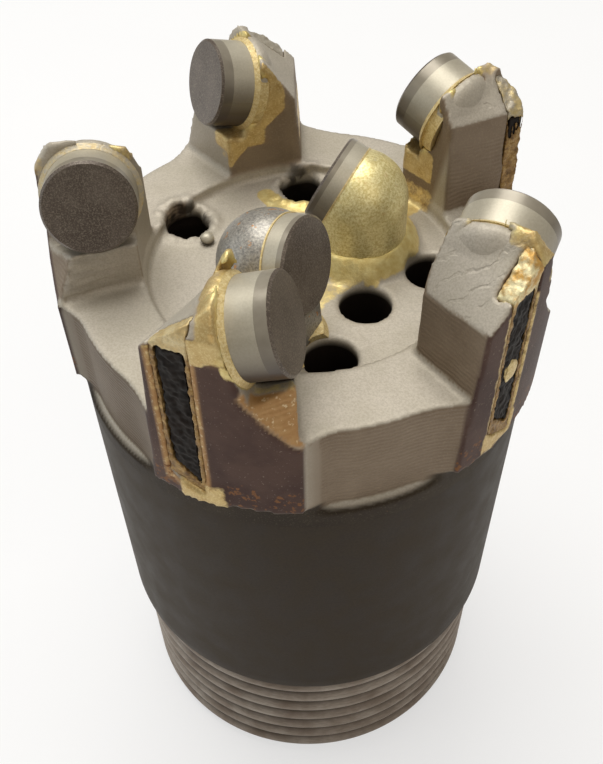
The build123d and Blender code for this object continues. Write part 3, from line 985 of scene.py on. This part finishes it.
def make_shank():
    """The plain round body down to the pin's neck, and the hollow inside it."""
    low, high, rings = SHOULDER + 0.45, SEAM - 0.3, 24
    wall = [(BODY_R, low + (high - low) * t / rings) for t in range(rings - 1, 0, -1)]
    profile = [
        (BODY_R - 0.01, SEAM + SEAM_LAP), (BODY_R, high), *wall, (BODY_R, low),
        (BODY_R - 0.12, SHOULDER + 0.12), (BODY_R - 0.45, SHOULDER), (ROOT_R + 0.05, SHOULDER),
        (ROOT_R, SHOULDER - 0.06), (ROOT_R, SHOULDER - 1.7),
    ]
    add_object("shank", turned_mesh("shank", profile), SHANK)
    end = [
        (ROOT_R, 0.95), (ROOT_R - 0.05, 0.8), (ROOT_R - 0.7, 0.1), (ROOT_R - 0.8, 0.0),
        (CHAMBER_R + 0.5, 0.0), (CHAMBER_R, 0.5), (CHAMBER_R, 20), (CHAMBER_R, 50),
        (CHAMBER_R, 75), (CHAMBER_R, SEAM + SEAM_LAP),
    ]
    add_object("bore", turned_mesh("bore", end), THREAD)


# ---- floor and CAD pieces -------------------------------------------------------------
def make_floor():
    """A pale floor under the bit; the camera sees it whiter than it lights."""
    m = Maker("floor")
    tone = m.ramp(m.noise(60.0, 2.0), 0.3, 0.7)
    m.finish(m.mix(tone, (0.88, 0.88, 0.88), (0.90, 0.90, 0.90)), 0.9, 0.0)
    white = m.add("ShaderNodeEmission")
    white.inputs["Color"].default_value = (1, 1, 1, 1)
    blend = m.add("ShaderNodeMixShader")
    seen = m.math("MULTIPLY", m.add("ShaderNodeLightPath").outputs["Is Camera Ray"], 0.6)
    m.link(seen, blend.inputs[0])
    m.link(m.shader.outputs[0], blend.inputs[1])
    m.link(white.outputs[0], blend.inputs[2])
    m.link(blend.outputs[0], m.out.inputs["Surface"])
    reach = 1.5
    corners = [(-reach, -reach, 0), (reach, -reach, 0), (reach, reach, 0), (-reach, reach, 0)]
    mesh = mesh_from("floor", corners, [(0, 1, 2, 3)], False)
    mesh.materials.append(m.material)
    floor = bpy.data.objects.new("floor", mesh)
    bpy.context.scene.collection.objects.link(floor)


def dress(name, material):
    """A CAD node shown as it is, in another material."""
    nodes[name].data.materials.clear()
    nodes[name].data.materials.append(material)


def make_blade_parts(i, letter):
    """One outer cutter, its gauge insert and the ridge's cap behind it."""
    dress(f"outer_cutter_{i}_substrate", CARBIDE)
    axis = cutter_axis(letter)[1]
    dress(f"outer_cutter_{i}_diamond_table", diamond_metal(f"diamond_{i}", axis))
    dress(f"outer_cutter_{i}_braze", PALE_BRAZE if i == 1 else BRAZE)
    # the inserts of blades E and D are rough, the others smooth
    push = 0.40 if letter in "DE" else 0.0
    insert = f"gauge_insert_{i}"
    rough_copy(insert, "insert_" + letter, INSERT_VOXEL, push, 1.3, INSERT, i)
    piece, braze = "insert_braze_" + letter, DULL[letter]
    rough_copy(insert + "_braze", piece, INSERT_BRAZE_VOXEL, 0.34, 1.0, braze, i + 9)
    make_cap(letter)


def make_stud_parts(i, material):
    """One stud and the cutter brazed to it."""
    dress(f"inner_post_{i}", material)
    dress(f"inner_post_{i}_braze", BRAZE)
    dress(f"inner_cutter_{i}_substrate", CARBIDE)
    look, rake = math.radians(STUDS[i - 1][1]), math.radians(STUDS[i - 1][2])
    axis = (math.cos(rake) * math.cos(look), math.cos(rake) * math.sin(look), math.sin(rake))
    dress(f"inner_cutter_{i}_diamond_table", diamond_metal(f"diamond_stud_{i}", axis))
    dress(f"inner_cutter_{i}_braze", BRAZE)


# ---- everything together -------------------------------------------------------------
STEEL = painted_steel()
# the shank's dark tones hold painted shade under the crown as well as the steel's own colour
SHANK = plain_metal("shank_steel", DARK_STEEL_AND_SHADE, 0.55, 0.0, 0.35, 0.15, 0.22)
THREAD = thread_metal()
CARBIDE_TONES = ((0.44, 0.40, 0.31), (0.53, 0.49, 0.39))
# carbide with painted shade on the faces that look down
CARBIDE = plain_metal("carbide", CARBIDE_TONES, 0.42, 0.40, 0.3, 0.08, under=(0.085, 0.065, 0.048))
INSERT_TONES = ((0.003, 0.002, 0.0015), (0.016, 0.010, 0.007))
INSERT = plain_metal("insert", INSERT_TONES, 0.50, 0.0, 0.9, 0.6, 0.12)
BRAZE = braze_metal()
STEEL_TOP = ((0.44, 0.40, 0.32), (0.50, 0.46, 0.38))
TOPS = {
    "A": STEEL_TOP,
    "E": ((0.62, 0.47, 0.22), (0.72, 0.60, 0.34)),
    "D": ((0.62, 0.36, 0.09), (0.90, 0.80, 0.48)),
    "C": ((0.44, 0.40, 0.32), (0.58, 0.46, 0.22)),
    "B": STEEL_TOP,
}
DULL = {letter: braze_metal("braze_" + letter, 0.9, top) for letter, top in TOPS.items()}
PALE_BRAZE = braze_metal("braze_pale", steel=0.35)
STUD_1 = stud_metal("stud_steel", 0.66, 0.80, 0.9)
STUD_2 = stud_metal("stud_gold", 0.12, 0.34, 0.15)


for number, blade in enumerate(CUTTER_ORDER, 1):
    make_blade_parts(number, blade)
for number, metal in enumerate((STUD_1, STUD_2), 1):
    make_stud_parts(number, metal)

make_crown()
make_drop("steel_bead", 1.15, 0.10, 900, beside_port, CARBIDE)
make_drop("braze_drop", 1.0, 0.25, 1400, on_insert, BRAZE)
make_shank()
make_thread()

make_floor()
make_camera()
make_world()
middle = (0, 0, 90 * MM)
make_lamp("key", (-0.10, 0.25, 0.95), middle, 0.7, 7.9, (1.0, 0.985, 0.95))
make_lamp("fill", (0.30, -0.62, 0.85), middle, 0.7, 1.7, (1.0, 0.90, 0.78))
make_lamp("cool", (-0.70, 0.05, 0.35), middle, 0.6, 1.0, (0.80, 0.90, 1.0))

bpy.context.scene.view_settings.view_transform = "Standard"
